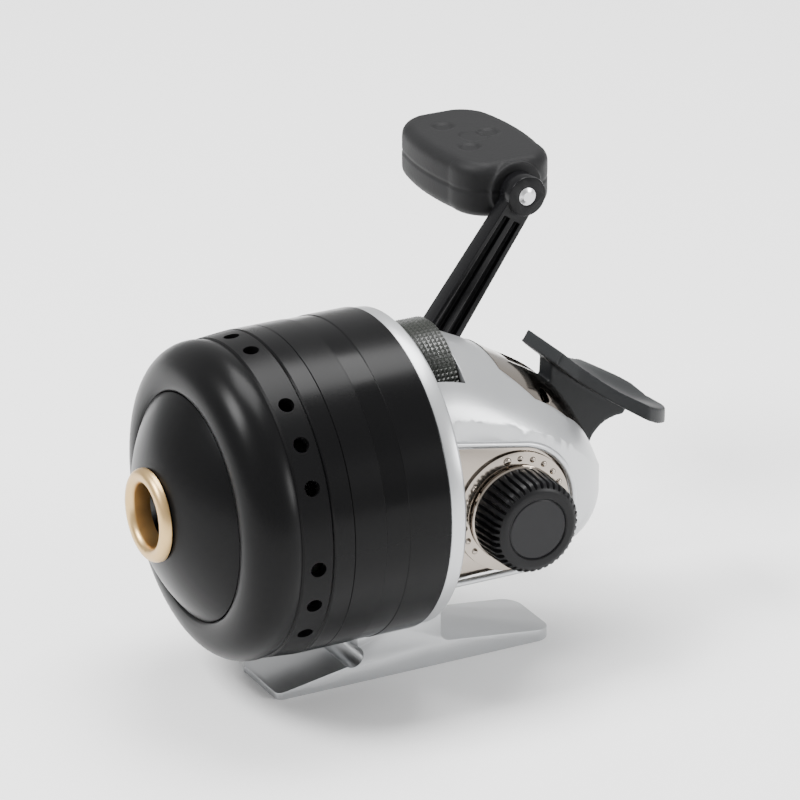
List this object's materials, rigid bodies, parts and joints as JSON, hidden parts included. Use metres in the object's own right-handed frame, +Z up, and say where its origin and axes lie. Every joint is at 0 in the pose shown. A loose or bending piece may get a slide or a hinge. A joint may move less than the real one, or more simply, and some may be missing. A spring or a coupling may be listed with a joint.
{
  "type": "spincast fishing reel",
  "caption": "Closed-face spincast fishing reel with a round cover, a side crank with a paddle grip, a rear thumb lever, a side drag knob and a foot for a rod's reel seat.",
  "frame": {"origin": "on the foot's underside, where the reel sits in the rod's seat, midway across it and 1.4 mm forward of the middle of its length", "axes": "-Y points forward, the way the line leaves; +Z is up, from the foot to the barrel; -X is the crank's side"},
  "size_m": [0.102, 0.1099, 0.0812],
  "materials": {
    "black_shell": "glossy black with satin bands",
    "bronze_ring": "polished pale bronze",
    "silver_paint": "satin silver paint",
    "nickel": "polished warm nickel",
    "black_plastic": "satin moulded black",
    "black_paint": "satin black paint",
    "rubber": "soft dark grey rubber",
    "grey_disc": "smooth dark grey",
    "wheel_plastic": "rough knurled black",
    "steel": "turned steel",
    "brass": "machined",
    "felt": "pressed felt",
    "line": "clear monofilament"
  },
  "bodies": {
    "reel_frame": {"front_cover": "black_shell", "nose_cone": "black_shell", "line_guide_ring": "bronze_ring", "front_frame": "silver_paint", "reel_foot": "silver_paint", "rear_housing": "silver_paint", "rear_trim": "nickel", "dial_plate": "nickel", "crank_side_plate": "nickel", "spool": "black_plastic", "wound_line": "line", "spool_drag_washer": "felt", "spool_backing_washer": "steel", "spool_clip": "steel", "bearing_outer_races": "steel", "bearing_balls": "steel", "wheel_axle": "steel", "wheel_bracket": "steel", "shaft_guide": "steel", "lever_pin": "steel", "crank_bushing": "brass", "clutch_race": "steel", "clutch_rollers": "steel", "foot_screws": "steel", "housing_screws": "steel"},
    "crank": {"crank_shaft": "steel", "gear_friction_washer": "felt", "drag_washer": "felt", "drive_gear": "brass", "crank_arm": "black_paint", "crank_nut": "nickel", "grip_axle": "steel", "clutch_inner_sleeve": "steel"},
    "grip": {"crank_grip": "rubber"},
    "pinion": {"pinion_gear": "brass", "bearing_inner_races": "steel"},
    "plunger": {"thrust_button": "black_plastic"},
    "rotor": {"centre_shaft": "steel", "spinner_head": "steel", "pickup_pins": "steel", "head_nut": "steel", "shaft_collar": "steel", "return_spring": "steel"},
    "thumb_lever": {"thumb_lever": "black_plastic"},
    "drag_knob": {"drag_knob": "black_plastic", "knob_rim": "nickel", "knob_disc": "grey_disc", "drag_stem": "steel"},
    "drag_sleeve": {"drag_sleeve": "steel", "drag_spring": "steel"},
    "thumb_wheel": {"thumb_wheel": "wheel_plastic"},
    "spool_brake": {"brake_sleeve": "black_plastic", "brake_felt": "felt"}
  },
  "joints": [
    {"name": "crank_turn", "type": "hinge", "parent": "reel_frame", "child": "crank", "pos_m": [0, 0.0168, 0.0338], "axis": [1, 0, 0], "continuous": true},
    {"name": "grip_spin", "type": "hinge", "parent": "crank", "child": "grip", "pos_m": [0, 0.04674, 0.07546], "axis": [1, 0, 0], "continuous": true},
    {"name": "pinion_spin", "type": "hinge", "parent": "reel_frame", "child": "pinion", "pos_m": [0, 0, 0.04], "axis": [0, 1, 0], "continuous": true},
    {"name": "lever_press", "type": "hinge", "parent": "reel_frame", "child": "thumb_lever", "pos_m": [0, 0.027, 0.0525], "axis": [-1, 0, 0], "range_deg": [0, 13], "stiffness_Nm_per_rad": 0.05, "springref_deg": -20.05},
    {"name": "shaft_slide", "type": "slide", "parent": "reel_frame", "child": "plunger", "axis": [0, -1, 0], "range_m": [0, 0.00274], "deforming": ["return_spring"]},
    {"name": "rotor_spin", "type": "hinge", "parent": "plunger", "child": "rotor", "pos_m": [0, 0, 0.04], "axis": [0, 1, 0], "continuous": true},
    {"name": "drag_turn", "type": "hinge", "parent": "reel_frame", "child": "drag_knob", "pos_m": [0, 0.0168, 0.0338], "axis": [1, 0, 0], "range_deg": [0, 270]},
    {"name": "drag_press", "type": "slide", "parent": "reel_frame", "child": "drag_sleeve", "axis": [-1, 0, 0], "range_m": [0, 0.0003], "deforming": ["drag_spring"]},
    {"name": "wheel_turn", "type": "hinge", "parent": "reel_frame", "child": "thumb_wheel", "pos_m": [0, 0.0047, 0.0555], "axis": [0, 1, 0], "range_deg": [0, 270]},
    {"name": "brake_slide", "type": "slide", "parent": "reel_frame", "child": "spool_brake", "axis": [0, -1, 0], "range_m": [0, 0.0005]}
  ],
  "couplings": [
    {"joint": "pinion_spin", "follows": "crank_turn", "ratio": -3},
    {"joint": "rotor_spin", "follows": "crank_turn", "ratio": -3},
    {"joint": "lever_press", "follows": "shaft_slide", "rad_per_m": 82.799},
    {"joint": "drag_turn", "follows": "drag_press", "rad_per_m": 15706},
    {"joint": "brake_slide", "follows": "wheel_turn", "m_per_rad": 0.00010609}
  ]
}
